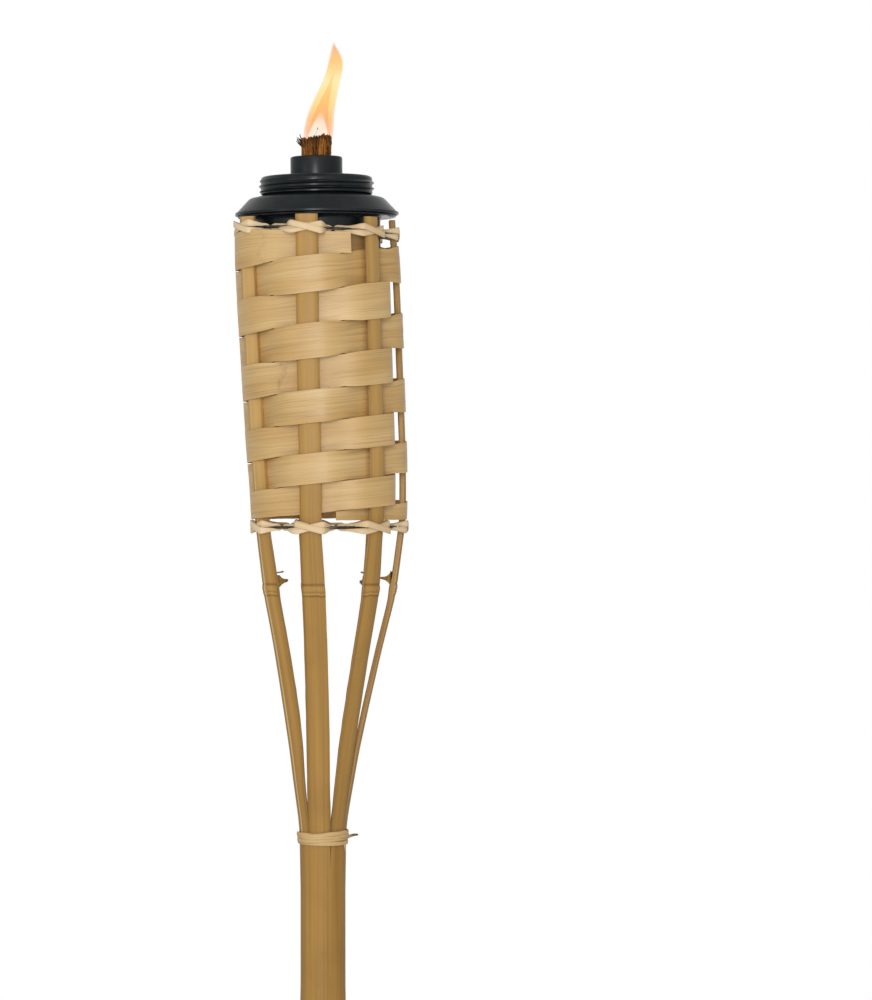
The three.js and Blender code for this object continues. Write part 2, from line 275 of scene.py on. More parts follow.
def ring_piece(name, rings, materials, body="pole_and_basket", loop=False, closed=True, marks=None):
    """A skin through rings of points, with a grain UV map: metres along the piece and around it."""
    rings = np.asarray(rings, float)
    count, size = rings.shape[:2]
    along, about = path_lengths(rings.mean(1)), path_lengths(rings[count // 2])
    grain = [
        (along[i + up], about[j + right])
        for i in range(count if loop else count - 1)
        for j in range(size if closed else size - 1)
        for up, right in ((0, 0), (0, 1), (1, 1), (1, 0))
    ]
    if closed and not loop:
        for end in (rings[0][::-1], rings[-1]):
            grain += [(p[0] * MM, p[1] * MM) for p in end]
    faces = skin_faces(count, size, loop, closed)
    obj = new_object(name, rings.reshape(-1, 3), faces, materials, body)
    layer = obj.data.uv_layers.new(name="grain")
    layer.data.foreach_set("uv", np.asarray(grain, np.float32).ravel())
    if marks is not None:
        set_marks(obj, marks)
    return obj


AXIS_RADIUS = 0.01
WELD_M = 2e-5  # closer than this, vertices become one


def turned_piece(name, outline, material, body, segments=128, shape=None):
    """A body of revolution on the head's axis. Its outline closes on itself unless both ends are on
    the axis. shape moves an outline point by its azimuth."""
    open_ends = outline[0][0] == 0 and outline[-1][0] == 0
    rings = []
    for a in circle(segments):
        ring = [shape(r, z, a) if shape else (r, z) for r, z in outline]
        rings.append([polar(max(r, AXIS_RADIUS), a, z) for r, z in ring])
    obj = ring_piece(name, rings, [material], body, loop=True, closed=not open_ends)
    with edited(obj) as mesh:
        bmesh.ops.remove_doubles(mesh, verts=mesh.verts, dist=WELD_M)
    place_head(obj)
    return finish_mesh(obj)


def place_head(obj):
    """Moves a mesh made about the head's own axis to where the head stands."""
    there = Matrix.Translation((HEAD_X * MM, 0, STAVE_TOP_Z * MM))
    obj.data.transform(there @ Matrix.Rotation(-radians(HEAD_TILT), 4, "Y"))


def rounded(outline, radius, steps=4):
    """A closed or open outline with each inner corner rounded."""
    points = [np.array(p, float) for p in outline]
    made = [points[0]]
    for before, here, after in zip(points, points[1:], points[2:]):
        sides = before - here, after - here
        reach = min(radius, *(np.linalg.norm(side) * 0.45 for side in sides))
        start, end = (here + side / np.linalg.norm(side) * reach for side in sides)
        for t in np.linspace(0, 1, steps + 1):
            made.append((1 - t) ** 2 * start + 2 * t * (1 - t) * here + t * t * end)
    made.append(points[-1])
    return made


def join(target, *others):
    """Adds other pieces' meshes to a piece."""
    for other in others:
        with edited(target) as mesh:
            mesh.from_mesh(other.data)
        bpy.data.objects.remove(other)
    return target


# ---- materials ----
def as_color(value):
    """A node's output as it is, or a linear colour from a grey share or an sRGB colour in 0..255."""
    if isinstance(value, bpy.types.NodeSocket):
        return value
    if not isinstance(value, tuple):
        return (value, value, value, 1)
    parts = [c / 255 for c in value]
    return [c / 12.92 if c <= 0.04045 else ((c + 0.055) / 1.055) ** 2.4 for c in parts] + [1]


class Shading:
    """The shader nodes of a material or a world."""

    def __init__(self, owner):
        owner.use_nodes = True
        self.nodes = owner.node_tree.nodes
        self.links = owner.node_tree.links

    def node(self, kind, inputs=(), **settings):
        made = self.nodes.new("ShaderNode" + kind)
        for key, value in settings.items():
            setattr(made, key, value)
        for key, value in dict(inputs).items():
            if isinstance(value, bpy.types.NodeSocket):
                self.links.new(value, made.inputs[key])
            else:
                made.inputs[key].default_value = value
        return made

    def ramp(self, fac, *stops):
        """A colour ramp from (place, colour) stops."""
        made = self.node("ValToRGB", {"Fac": fac})
        elements = made.color_ramp.elements
        while len(elements) < len(stops):
            elements.new(0.5)
        for element, (place, color) in zip(elements, stops):
            element.position = place
            element.color = as_color(color)
        return made.outputs["Color"]

    def math(self, operation, first, second=0):
        return self.node("Math", {0: first, 1: second}, operation=operation).outputs[0]


class Look(Shading):
    """A material being built around one Principled shader."""

    def __init__(self, name, roughness=0.5, gloss=0.5, metallic=0):
        self.material = bpy.data.materials.new(name)
        super().__init__(self.material)
        self.shader = self.nodes["Principled BSDF"]
        inputs = self.shader.inputs
        inputs["Roughness"].default_value = roughness
        inputs["Specular IOR Level"].default_value = gloss
        inputs["Metallic"].default_value = metallic

    def grain(self, along, across):
        """The grain UV map, in metres, scaled to this many repeats a metre."""
        uv = self.node("UVMap", uv_map="grain").outputs[0]
        return self.node("Mapping", {"Vector": uv, "Scale": (along, across, 1)}).outputs[0]

    def place(self, scale, up=None):
        """Object coordinates, scaled, upwards by another number if there is one."""
        inputs = {"Vector": self.node("TexCoord").outputs["Object"]}
        inputs["Scale"] = (scale, scale, up or scale)
        return self.node("Mapping", inputs).outputs[0]

    def noise(self, vector, detail, rough=0.55):
        inputs = {"Vector": vector, "Scale": 1, "Detail": detail, "Roughness": rough}
        return self.node("TexNoise", inputs).outputs["Fac"]

    def mix(self, fac, first, second, mode="MIX"):
        """Mixes two colours, which are inputs 6 and 7 of a mix node."""
        inputs = {0: fac, 6: as_color(first), 7: as_color(second)}
        return self.node("Mix", inputs, data_type="RGBA", blend_type=mode).outputs[2]

    def multiply(self, first, second):
        return self.mix(1, first, second, "MULTIPLY")

    def mark(self, sign=1):
        """The mesh's mark, or its reverse, held between 0 and 1."""
        mark = self.node("Attribute", attribute_name="mark").outputs["Fac"]
        return self.node("Clamp", {"Value": self.math("MULTIPLY", mark, sign)}).outputs[0]

    def color(self, socket):
        self.links.new(socket, self.shader.inputs["Base Color"])

    def rough(self, socket):
        self.links.new(socket, self.shader.inputs["Roughness"])

    def bump(self, height, strength, distance_m):
        made = self.node("Bump", {"Height": height, "Strength": strength, "Distance": distance_m})
        self.links.new(made.outputs[0], self.shader.inputs["Normal"])


def bamboo_skin(name, light, dark, spot):
    """The culm's outer skin: long streaks, soft bands and brown blotches. The mesh marks it darker at
    its nodes, with painted shade in its cracks, towards a stave's split sides and on a painted split
    side,
    and, below zero, paler: by height, along a split edge, and as painted light on the front left stave."""
    look = Look(name, 0.5, gloss=0.35)
    streak = look.noise(look.grain(9, 1000), 5)
    band = look.noise(look.grain(2.5, 190), 2)
    blotch = look.noise(look.place(26), 5, 0.6)
    color = look.mix(look.ramp(band, (0.36, 0), (0.64, 1)), dark, light)
    color = look.multiply(color, look.ramp(streak, (0.3, 0.86), (0.52, 1), (0.75, 1.05)))
    color = look.mix(look.ramp(blotch, (0.52, 0), (0.8, 0.4)), color, spot)
    color = look.mix(look.mark(), color, (104, 72, 32))
    color = look.mix(look.mark(-1), color, (230, 188, 118))
    look.color(color)
    look.rough(look.ramp(streak, (0.3, 0.42), (0.7, 0.6)))
    look.bump(look.math("ADD", streak, band), 0.2, 0.0002)
    return look.material


def split_bamboo(name, light, dark, roughness, lines, gloss=0.4):
    """Split bamboo: fine fibres, so many to a metre, over slow changes of tone."""
    look = Look(name, roughness, gloss)
    fibre = look.noise(look.grain(16, lines), 3, 0.6)
    coarse = look.noise(look.grain(11, lines * 0.42), 4)
    slow = look.noise(look.grain(9, 60), 2)
    color = look.mix(look.ramp(slow, (0.32, 0), (0.68, 1)), dark, light)
    color = look.multiply(color, look.ramp(coarse, (0.3, 0.79), (0.47, 1), (0.7, 1.07)))
    color = look.multiply(color, look.ramp(fibre, (0.3, 0.66), (0.44, 0.98), (0.7, 1.07)))
    color = look.mix(look.mark(), color, (112, 78, 40))
    look.color(color)
    look.rough(look.ramp(coarse, (0.3, roughness - 0.1), (0.7, roughness + 0.12)))
    look.bump(look.math("ADD", coarse, fibre), 0.5, 0.0003)
    return look.material


def black_enamel():
    """Satin black paint over pressed steel, with a fine orange peel and a little dust."""
    look = Look("black_enamel", 0.36, gloss=0.34)
    peel = look.noise(look.place(1300), 2)
    dust = look.noise(look.place(60), 6, 0.65)
    look.color(look.ramp(dust, (0.42, (20, 26, 27)), (0.82, (36, 43, 45))))
    look.rough(look.ramp(dust, (0.35, 0.25), (0.75, 0.4)))
    look.bump(peel, 0.1, 0.0001)
    return look.material


def dull_wire():
    look = Look("dull_wire", 0.4, metallic=0.85)
    tarnish = look.noise(look.place(240), 5, 0.6)
    look.color(look.ramp(tarnish, (0.35, (52, 54, 52)), (0.75, (118, 122, 112))))
    look.rough(look.ramp(tarnish, (0.3, 0.3), (0.8, 0.6)))
    look.bump(tarnish, 0.2, 0.0001)
    return look.material


def seal_rubber():
    look = Look("seal_rubber", 0.8)
    grit = look.noise(look.place(900), 3)
    look.color(look.ramp(grit, (0.3, (18, 18, 18)), (0.8, (38, 38, 38))))
    look.bump(grit, 0.2, 0.0001)
    return look.material


def wick_fibre(name, light, dark):
    """Brown fibre, drawn out upwards and darker where the mesh marks it: charred, and painted shade in
    the wick's crease.
    """
    look = Look(name, 0.9, gloss=0.2)
    tone = look.noise(look.place(520, 90), 5, 0.65)
    color = look.ramp(tone, (0.36, dark), (0.62, light))
    look.color(look.mix(look.mark(), color, (30, 17, 9)))
    look.bump(tone, 0.6, 0.0005)
    return look.material


def flame_glow(name, share, high, *stops):
    """Flame: a share of light of its own, in colours that change up to a height in metres, over what
    is seen through it."""
    look = Look(name, 1)
    height = look.node("SeparateXYZ", {0: look.node("TexCoord").outputs["Object"]}).outputs["Z"]
    part = look.node("MapRange", {"Value": height, "From Min": FLAME_LOW_M, "From Max": high})
    color = look.ramp(part.outputs[0], *stops)
    glow = look.node("Emission", {"Color": color, "Strength": 1}).outputs[0]
    clear = look.node("BsdfTransparent").outputs[0]
    mixed = look.node("MixShader", {0: share, 1: clear, 2: glow})
    look.nodes.remove(look.shader)
    look.links.new(mixed.outputs[0], look.nodes["Material Output"].inputs["Surface"])
    return look.material


def studio_pale():
    look = Look("studio_pale", 0.9)
    shade = look.noise(look.place(0.6), 2)
    look.color(look.ramp(shade, (0.3, 0.84), (0.7, 0.88)))
    return look.material


add_camera()
SKIN = bamboo_skin("bamboo_skin", (184, 140, 69), (162, 120, 55), (137, 98, 42))
INNER = split_bamboo("bamboo_inner", (214, 178, 120), (184, 142, 82), 0.7, 1100)
STRIP = split_bamboo("strip_bamboo", (226, 190, 129), (203, 160, 92), 0.42, 1900, 0.8)
LASH = split_bamboo("lashing_cane", (252, 230, 194), (226, 192, 142), 0.6, 2000)
ENAMEL = black_enamel()
RAFFIA = split_bamboo("raffia", (234, 202, 150), (206, 166, 106), 0.6, 1500)
WIRE = dull_wire()
RUBBER = seal_rubber()
FIBRE = wick_fibre("wick_fibre", (206, 138, 62), (122, 70, 24))
# A darker copy of the wick's fibre for the bundle under the loose strands: painted shade.
FIBRE_SHADED = wick_fibre("wick_shadow", (120, 70, 26), (48, 24, 9))
FLAME_LOW_M, BODY_HIGH_M, HEART_HIGH_M, CORE_HIGH_M = 1.520, 1.579, 1.562, 1.546
FLAME = flame_glow(
    "flame_body", 0.4, BODY_HIGH_M, (0, (255, 214, 180)), (0.08, (255, 190, 146)),
    (0.2, (255, 190, 112)), (0.36, (255, 216, 122)), (0.6, (255, 236, 162)),
    (0.8, (255, 198, 100)), (0.93, (252, 180, 112)), (1, (252, 168, 140)),
)
FLAME_HEART = flame_glow(
    "flame_heart", 0.7, HEART_HIGH_M, (0, (255, 214, 176)), (0.25, (255, 166, 130)),
    (0.44, (255, 144, 112)), (0.68, (255, 158, 70)), (1, (255, 204, 104)),
)
FLAME_CORE = flame_glow(
    "flame_core", 0.74, CORE_HIGH_M, (0, (255, 253, 240)), (0.36, (255, 248, 228)),
    (0.8, (255, 176, 146)),
)


# ---- the culm ----
# The rings round a culm at a node, from its swollen band to the groove above and a sheath's wavy scars
# below: height over the node, share of the waves, width, how far each stands out, and how dark it is.
NODE_RINGS = (
    (0, 0, 9, 0.25, 0), (0, 0, 2.3, 0.5, 0), (0.3, 0, 1.5, 0, -0.1),
    (2.9, 0, 0.7, -0.25, 0), (2.9, 0, 0.6, 0, 0.7),
    (-1.6, 1.4, 0.4, 0, 0.3), (-2.6, 1, 0.4, 0, -0.3), (-2.9, 1, 0.8, 0.3, 0), (-3.7, 1, 0.5, 0, 0.6),
)
SCAR_WAVE = 0.8


def node_profile(step, azimuth):
    """Height out of the culm's wall, and darkness, by distance above a node."""
    wave = SCAR_WAVE * uneven(azimuth / 14, 2, 0)
    out, dark = 0, 0
    for height, waves, width, stands, shade in NODE_RINGS:
        here = bell((step - height + waves * wave) / width)
        out += stands * here
        dark += shade * here
    return out, dark


CRACKS_FROM = 1020  # the pole's rings are closer together above this height
FOOT_EDGE, FOOT_EDGE_HIGH = 0.8, 1.5  # the worn edge round the pole's foot
POLE_FLARE = 30  # height over which the pole widens to the split
POLE_WAVE = 0.12


def pole_heights():
    """Heights for the pole's rings: close together round its nodes and its splits."""
    near_nodes = {z + step for z in POLE_NODES for step in range(-14, 16)}
    spread = {*np.arange(0, SPLIT_Z, 12), *np.arange(CRACKS_FROM, SPLIT_Z, 4)}
    return sorted(spread | near_nodes | {1, 2.5, SPLIT_Z})


POLE_SIDES = 144
# The splits that run on below the binding: azimuth, foot and darkness, which is painted shade in the
# split.
SPLIT_CRACKS = (
    (-38, 1092, 0.3), (19, 1083, 0.75), (65, 1079, 0.45), (117, 1060, 0.6),
    (158, 1072, 0.5), (224, 1050, 0.6), (272, 1085, 0.4),
)
CRACK_DEPTH, CRACK_FADE = 0.6, 14
CRACK_HALF = 1.3  # degrees
CRACK_WANDER = 0.8


def crack_depth(azimuth, z):
    """How deep a split cuts into the pole at a place, and how dark its painted shade is."""
    depth, dark = 0, 0
    for place, foot, shade in SPLIT_CRACKS:
        off = (azimuth - place + 180) % 360 - 180
        if abs(off - CRACK_WANDER * uneven(place, z / 22, 0)) < CRACK_HALF and z > foot:
            share = min((z - foot) / CRACK_FADE, 1)
            depth, dark = CRACK_DEPTH * share, shade * share
    return depth, dark


def is_cut(face, vertices):
    """Whether a face of the pole is one of its cut ends or its dividing wall."""
    low = min(vertices[v].co.z for v in face.vertices)
    at_end = low < 0.5 * MM or low > (SPLIT_Z - 1) * MM
    return abs(face.normal.z) > 0.9 and (at_end or len(face.vertices) > 4)


def add_pole():
    rings, marks = [], []
    angles = circle(POLE_SIDES)
    for z in pole_heights():
        ring, dark = [], []
        flare = (SPLIT_RADIUS - CULM_RADIUS) * held((z - SPLIT_Z + POLE_FLARE) / POLE_FLARE)
        node_z = min(POLE_NODES, key=lambda at: abs(z - at))
        worn = FOOT_EDGE * max(1 - z / FOOT_EDGE_HIGH, 0)
        for a in angles:
            azimuth = degrees(a)
            wave = POLE_WAVE * uneven(sin(a) * 1.6, cos(a) * 1.6, z / 90)
            # The splits' darkness is painted shade.
            crack, black = crack_depth(azimuth, z)
            out, shade = node_profile(z - node_z, min(azimuth, 360 - azimuth))
            ring.append(polar(CULM_RADIUS + flare + out * NODE_SWELL + wave - crack - worn, a, z))
            dark.append(min(shade + black, 1))
        rings.append(ring)
        marks.append(dark)
    for z in (SPLIT_Z, FOOT_WALL):
        rings.append([polar(CULM_RADIUS - CULM_WALL, a, z) for a in angles])
        marks.append([0] * POLE_SIDES)
    pole = finish_mesh(ring_piece("bamboo_pole", rings, [SKIN, INNER], marks=marks))
    for face in pole.data.polygons:
        if is_cut(face, pole.data.vertices):
            face.material_index = 1
    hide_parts("pole")


def stave_heights(index):
    """Heights for a stave's sections: close together round its node."""
    low, high, top = 1240, 1262, STAVE_TOP_Z - STAVE_SHORT[index]
    below, above = np.arange(SPLIT_Z + GAP, low, 6), np.arange(high, top - 2, 5)
    return [*below, *np.arange(low, high, 0.5), *above, top]


ARC_STEPS = 20
SIDE_SHADE = 0.25  # how much a stave darkens towards its split sides
PAINTED_SPLIT_SIDE = (6,)  # staves whose left split side is painted on the skin: painted shade over its left half, a pale line at its edge
EDGE_ROUND = 0.35  # how far a stave's skin is rounded off at its split sides
SPLIT_RAG = 0.22
SKIN_RIPPLE = 0.07
# The staves are split a little wider below their node, each by its share of its width.
BROAD = (0.06, 0.2, 0, 0, 0, 0, 0.3)
BROAD_AT = ((1124, 0), (1160, 1), (1262, 1), (1281, 0))
# How much farther the front left stave's skin reaches round on its right, as a share by height.
RIGHT_REACH = {6: ((1135, 0), (1180, 0.3), (1262, 0.3), (1281, 0.55))}
# How much paler the staves' skin is by height, most up in the basket.
STAVE_PALE = ((1200, 0.04), (1290, 0.1), (1330, 0.28), (1474, 0.28))
# Each stave's share of that paleness; the front left stave's large share is painted light for its dim
# side.
STAVE_PALE_SHARE_AND_LIGHT = (1, 1.2, 1, 1, 1, 1, 2.6)


def stave_section(index, z):
    """The closed section of a stave: the culm's skin, a split side, its inner face and the other."""
    start, end = STAVE_EDGES[index], STAVE_EDGES[index + 1]
    middle, half = (start + end) / 2, (end - start - SPLIT_WIDTH) / 2
    half *= 1 + BROAD[index] * lookup(BROAD_AT, z)
    reach = lookup(RIGHT_REACH[index], z) if index in RIGHT_REACH else 0
    carried, facing = stave_radius(z) - SPLIT_RADIUS, bowed(middle, z)
    ragged = [SPLIT_RAG * uneven(index * 7 + side, z / 9, 0) for side in (0, 3)]
    top_cut = z == STAVE_TOP_Z - STAVE_SHORT[index]
    section, marks = [], []

    def put(radius, turn, mark):
        side = ragged[0] if turn < 0 else ragged[1]
        spread = turn * half * (1 + reach * max(turn, 0))
        a = radians(facing + spread) + side * max(abs(turn) - 0.6, 0) / radius * 2.5
        p = around(carried, middle, z) + polar(radius, a, 0)
        if top_cut:
            p[2] += (p[0] - HEAD_X) * slope(HEAD_TILT)
        section.append(p)
        marks.append(mark)

    turns = np.linspace(-1, 1, ARC_STEPS + 1)
    put(SPLIT_RADIUS - EDGE_ROUND, -1, 0)
    for turn in turns:
        out, mark = node_profile(z - STAVE_NODE_Z, index * 40 + turn * half)
        ripple = SKIN_RIPPLE * uneven(index * 5 + turn * 2, z / 14, 1)
        mark += SIDE_SHADE * max(abs(turn) - 0.7, 0) / 0.3
        # Paler by height, and on the front left stave with painted light.
        mark -= lookup(STAVE_PALE, z) * STAVE_PALE_SHARE_AND_LIGHT[index]
        # The painted split side: painted shade left of a pale line.
        if index in PAINTED_SPLIT_SIDE and turn < 0.15:
            mark += 0.3 if turn < -0.05 else -1.5
        put(SPLIT_RADIUS + out * NODE_SWELL + ripple, turn * 0.985, mark)
    put(SPLIT_RADIUS - EDGE_ROUND, 1, 0)
    inner = SPLIT_RADIUS - CULM_WALL - 0.5 * bell((z - STAVE_NODE_Z) / 5)
    put(inner + 0.3, 1, 0)
    for turn in turns[::-2]:
        put(inner, turn * 0.97, 0)
    put(inner + 0.3, -1, 0)
    return section, marks


# What is left of the culm's dividing wall: its stave, how far it reaches in, its lean aside, its
# height above the node, how far it stays thick, and how thick.
SHARDS = (
    (0, 2.5, 0.2, 3, 0, 7), (1, 8.2, -0.8, 3.2, 5, 3.6), (1, 6.4, -0.9, 9, 0, 2),
    (2, 9.8, 0.1, 5.2, 0, 9), (3, 4.0, 0.4, 3, 0, 7), (4, 2.0, -0.3, 3, 0, 7), (5, 4.5, 0.2, 3, 0, 7),
    (6, 12.4, 0.4, 3.8, 6.4, 7), (6, 9.2, 0.5, 9, 0, 2),
)
SHARD_RAG = 0.9


def shard_piece(number, index, reach, aside, lift, solid, root):
    """A ragged fin of the culm's dividing wall: thick where it joins the stave, and torn to a thin
    dark tip."""
    start, end = STAVE_EDGES[index], STAVE_EDGES[index + 1]
    middle, half = (start + end) / 2, (end - start) / 2 - 3
    inner, facing = SPLIT_RADIUS - CULM_WALL + 0.3, bowed(middle, STAVE_NODE_Z)
    base = around(stave_radius(STAVE_NODE_Z) - SPLIT_RADIUS, middle, STAVE_NODE_Z)
    steps, sides = 16, 11
    rings, marks = [], []
    for i in range(steps + 1):
        share = i / steps
        thick = 0.5 + root * exp(-max(share * reach - solid, 0) / 2.4) - 0.3 * share
        width = half * (1 - share) ** 1.5 * (1 - 0.15 * sin(index * 3 + i * 1.3))
        row = []
        for s in range(sides):
            turn = -1 + 2 * s / (sides - 1)
            a = radians(facing + turn * max(width, 1.5) + aside * 18 * share)
            rag = SHARD_RAG * uneven(turn * 3, i * 0.9, index) * share
            row.append(base + polar(inner - share * reach + rag, a, lift + 1.2 * share + rag))
        up = np.array((0, 0, thick / 2))
        rings.append([p + up for p in row] + [p - up for p in row[::-1]])
        marks.append([0.75 * max(share - 0.6, 0) / 0.4] * 2 * sides)
    return ring_piece(f"shard_{number}", rings, [SKIN, INNER], marks=marks)


def add_staves():
    for index, name in enumerate(STAVE_NAMES):
        rings, marks = zip(*[stave_section(index, z) for z in stave_heights(index)])
        stave = ring_piece(f"{name}_bamboo", rings, [SKIN, INNER], marks=marks)
        size = len(rings[0])
        for face in stave.data.polygons:
            along, about = divmod(face.index, size)
            on_skin = along < len(rings) - 1 and 1 <= about <= ARC_STEPS + 1
            face.material_index = 0 if on_skin else 1
        finish_mesh(stave)
        for number, shard in enumerate(SHARDS):
            if shard[0] == index:
                join(stave, finish_mesh(shard_piece(number, *shard), sharp=60))
        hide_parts(name)


# ---- ribbons: the woven strip, the lashings and the binding ----
def ribbon_section(width_points, half_thick, crown=0):
    """Across and out offsets of a flat strip with eased edges, as shares of its width and in mm."""
    outer, inner = (
        [(s * 0.99, crown * (1 - s * s) + out) for s in np.linspace(-1, 1, width_points)]
        for out in (half_thick, -half_thick)
    )
    return [(-1, 0), *outer, (1, 0), *inner[::-1]]


def strip_at(turns):
    """The strip at a place given in turns: azimuth, offset from the staves' faces, top, bottom."""
    azimuth = stave_azimuth(0) + 360 * turns
    start_from, free, _, _ = between_staves(azimuth)
    side = swing(free) if start_from % 2 == 0 else -swing(free)
    under = STRIP_UNDER - STRIP_SLACK * max(sin(radians(azimuth)), 0)
    offset = (STRIP_OVER + under) / 2 + side * (STRIP_OVER - under) / 2
    rise = lookup(STRIP_RISE, turns)
    across = stave_radius(rise) * sin(radians(azimuth))
    middle = rise + across * slope(STRIP_TILT)
    lap = lookup(STRIP_LAP, turns) + GAP
    extra = lap * abs(swing(free)) - GAP
    under_lashing = (HOOPS[0]["z"] + across * slope(HOOPS[0]["tilt"])
                     - LASHING_SWING - LASHING_WIDTH / 2 - GAP + STRIP_TUCK)
    above, below = lookup(STRIP_RISE, turns + 1), lookup(STRIP_RISE, turns - 1)
    top = min(middle + (above - rise + extra) / 2, under_lashing)
    bottom = max(middle - (rise - below + extra) / 2, STRIP_BOTTOM_Z)
    return azimuth, offset, top, bottom


STRIP_STEP = 1.8  # degrees
STRIP_WAVE = 0.12  # how uneven its edges are
TUCK_SHADE = 0.62
STRIP_SCARS = (4.94, 6.26, 7.58, 8.905)  # turns at which a bamboo node crosses the strip
SCAR_SPAN = 0.016


def strip_scar(turns, height_share):
    """The wrinkles where a node crosses the strip: height in mm, and darkness."""
    for at in STRIP_SCARS:
        off = (turns - at) / SCAR_SPAN
        if abs(off) < 3:
            wave = uneven(off * 2.6, height_share * 5, at * 9)
            fade = exp(-off * off * 0.8)
            line = bell((off - 0.4 * sin(height_share * 4)) / 0.22)
            return fade * (0.28 * wave + 0.22 * line), (0.7 * line + 0.12 * fade) * abs(wave)
    return 0, 0


def tucked_end():
    """The strip's last end, folded under and lost behind the next stave."""
    rings = []
    for turns in np.linspace(STRIP_END - 0.07, STRIP_END + 0.062, 16):
        azimuth, _, top, bottom = strip_at(turns)
        rings.append([
            around(stave_radius(z) + STRIP_UNDER - STRIP_SLACK + out, azimuth, z)
            for out, z in ((-0.25, bottom), (0.25, bottom), (0.25, top), (-0.25, top))
        ])
    marks = np.full((len(rings), 4), TUCK_SHADE)
    return ring_piece("tucked_end", rings, [STRIP], marks=marks)


def add_weave():
    count = int((STRIP_END - STRIP_START) * 360 / STRIP_STEP)
    section = ribbon_section(11, STRIP_THICK / 2 - 0.04)
    rings, marks = [], []
    for turns in np.linspace(STRIP_START, STRIP_END, count + 1):
        azimuth, offset, top, bottom = strip_at(turns)
        middle, half = (top + bottom) / 2, (top - bottom) / 2
        edge = [STRIP_WAVE * uneven(turns * 40, side, 2) for side in (0, 9)]
        ring, dark = [], []
        for share, out in section:
            z = middle + share * (half - STRIP_WAVE + edge[0 if share < 0 else 1])
            bump, mark = strip_scar(turns, share)
            radius = stave_radius(z) + offset + out + (bump if out > 0 else 0)
            ring.append(around(radius, azimuth, z))
            dark.append(mark)
        rings.append(ring)
        marks.append(dark)
    strip = ring_piece("woven_strip", rings, [STRIP], marks=marks)
    join(strip, tucked_end())
    finish_mesh(strip, sharp=50)
    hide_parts("weave_strip_lower", "weave_strip_middle", "weave_strip_upper")


def ribbon_piece(name, path, widths, thick, material, points, crown, border):
    """A flat ribbon along a closed path, darker at its borders."""
    rings = ribbon_rings(path, widths, thick, points, crown, loop=True)
    across = border * np.abs(np.linspace(-1, 1, points)) ** 5
    marks = [[border, *across, border, *across]] * len(rings)
    return ring_piece(name, rings, [material], loop=True, marks=marks)


def ribbon_rings(path, widths, thick, points=5, crown=0, loop=False):
    """Rings of a flat ribbon along a path. Its face looks out from the path's own level bends."""
    path = np.asarray(path)
    rings = []
    for i, (p, width) in enumerate(zip(path, widths)):
        ahead = path[(i + 1) % len(path)] if loop or i + 1 < len(path) else path[i]
        back = path[i - 1] if loop or i else path[i]
        along = (ahead - back) * (1, 1, 0)
        along /= np.linalg.norm(along)
        outwards = np.array((along[1], -along[0], 0))
        rings.append([
            p + outwards * out + (0, 0, share * width / 2)
            for share, out in ribbon_section(points, thick / 2, crown)
        ])
    return rings


def lashing_at(hoop, layer, azimuth):
    """A lashing's radius, height over its hoop and width. It crosses each stave on a slant, goes in
    past the wire, crosses behind it and comes out on its other side."""
    start_from, free, along, left = between_staves(azimuth)
    clear = GAP + LASHING_THICK / 2 + layer * (GAP + LASHING_THICK)
    over = stave_radius(hoop["z"]) + clear + STRIP_THICK
    behind = stave_radius(hoop["z"]) + HOOP_OFFSET - HOOP_WIRE / 2 - clear
    near = min(free / 0.22, (1 - free) / (0.5 if layer == 0 else 0.28))
    rise = along if free <= 0 else -left if free >= 1 else swing((free - 0.2) / 0.3)
    inwards = (1 - swing(near)) / 2
    bunched = (1 - swing(near * 1.2)) / 2
    wander = uneven(azimuth / 31, hoop["z"], layer * 5)
    slant = LASHING_SWING * (1 - 0.35 * bunched) * (1 if layer == 0 else -1)
    width = LASHING_WIDTH * (1.15 + 0.22 * wander) * (1 - LASHING_PINCH * bunched)
    return over + (behind - over) * inwards, rise * slant + 0.5 * wander, width


def hoop_point(hoop, radius, azimuth, rise):
    p = around(radius, azimuth, hoop["z"] + rise)
    p[2] += radius * sin(radians(azimuth)) * slope(hoop["tilt"])
    return p


def add_lashings():
    for hoop in HOOPS:
        for layer, kind in enumerate(("inner", "outer")):
            path, widths = [], []
            for azimuth in np.arange(stave_azimuth(0), stave_azimuth(0) + 360, 1):
                radius, rise, width = lashing_at(hoop, layer, azimuth)
                path.append(hoop_point(hoop, radius, azimuth, rise))
                widths.append(width)
            node = f"lashing_{hoop['name']}_{kind}"
            piece = ribbon_piece(
                f"{node}_cane", path, widths, LASHING_THICK - 0.06, LASH, 7, LASHING_CROWN, 0.22,
            )
            finish_mesh(piece, sharp=50)
            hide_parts(node)


def add_hoops():
    wire = HOOP_WIRE / 2
    for hoop in HOOPS:
        radius = stave_radius(hoop["z"]) + HOOP_OFFSET
        rings = [
            [hoop_point(hoop, radius + wire * cos(a), azimuth, wire * sin(a)) for a in circle(12)]
            for azimuth in range(0, 360, 2)
        ]
        piece = finish_mesh(ring_piece(f"hoop_{hoop['name']}_wire", rings, [WIRE], loop=True))
        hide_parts(f"hoop_{hoop['name']}")


# The raffia wraps round the split: height above the binding's foot, tilt, azimuth where it is highest
# and width.
WRAPS = (
    (2.6, 0.5, 200, 2.8), (4.4, 1.5, 20, 2.7), (4.7, 1, 130, 2.9), (6.5, 0.7, 300, 2.5),
    (7.1, 1.3, 80, 2.6),
)
WRAP_THICK = 0.4
TAIL_LENGTH = 5
SLIVER_AZIMUTH = 60


def raffia_tail(radius, z):
    """The loose end that sticks out to the right at the front and dries to a dark tip."""
    start = np.array((radius * 0.985, -2.5, z))
    steps = np.arange(0, TAIL_LENGTH + 0.1, 0.5)
    path = [start + (1.35 * t, 0.2 * t, 1.1 * sin(t / 2.4) + 0.1 * t) for t in steps]
    widths = [2.2 - 0.24 * t for t in steps]
    marks = [[min(0.35 * t, 1)] * 12 for t in steps]
    return ring_piece("tail", ribbon_rings(path, widths, 1.1), [RAFFIA], marks=marks)


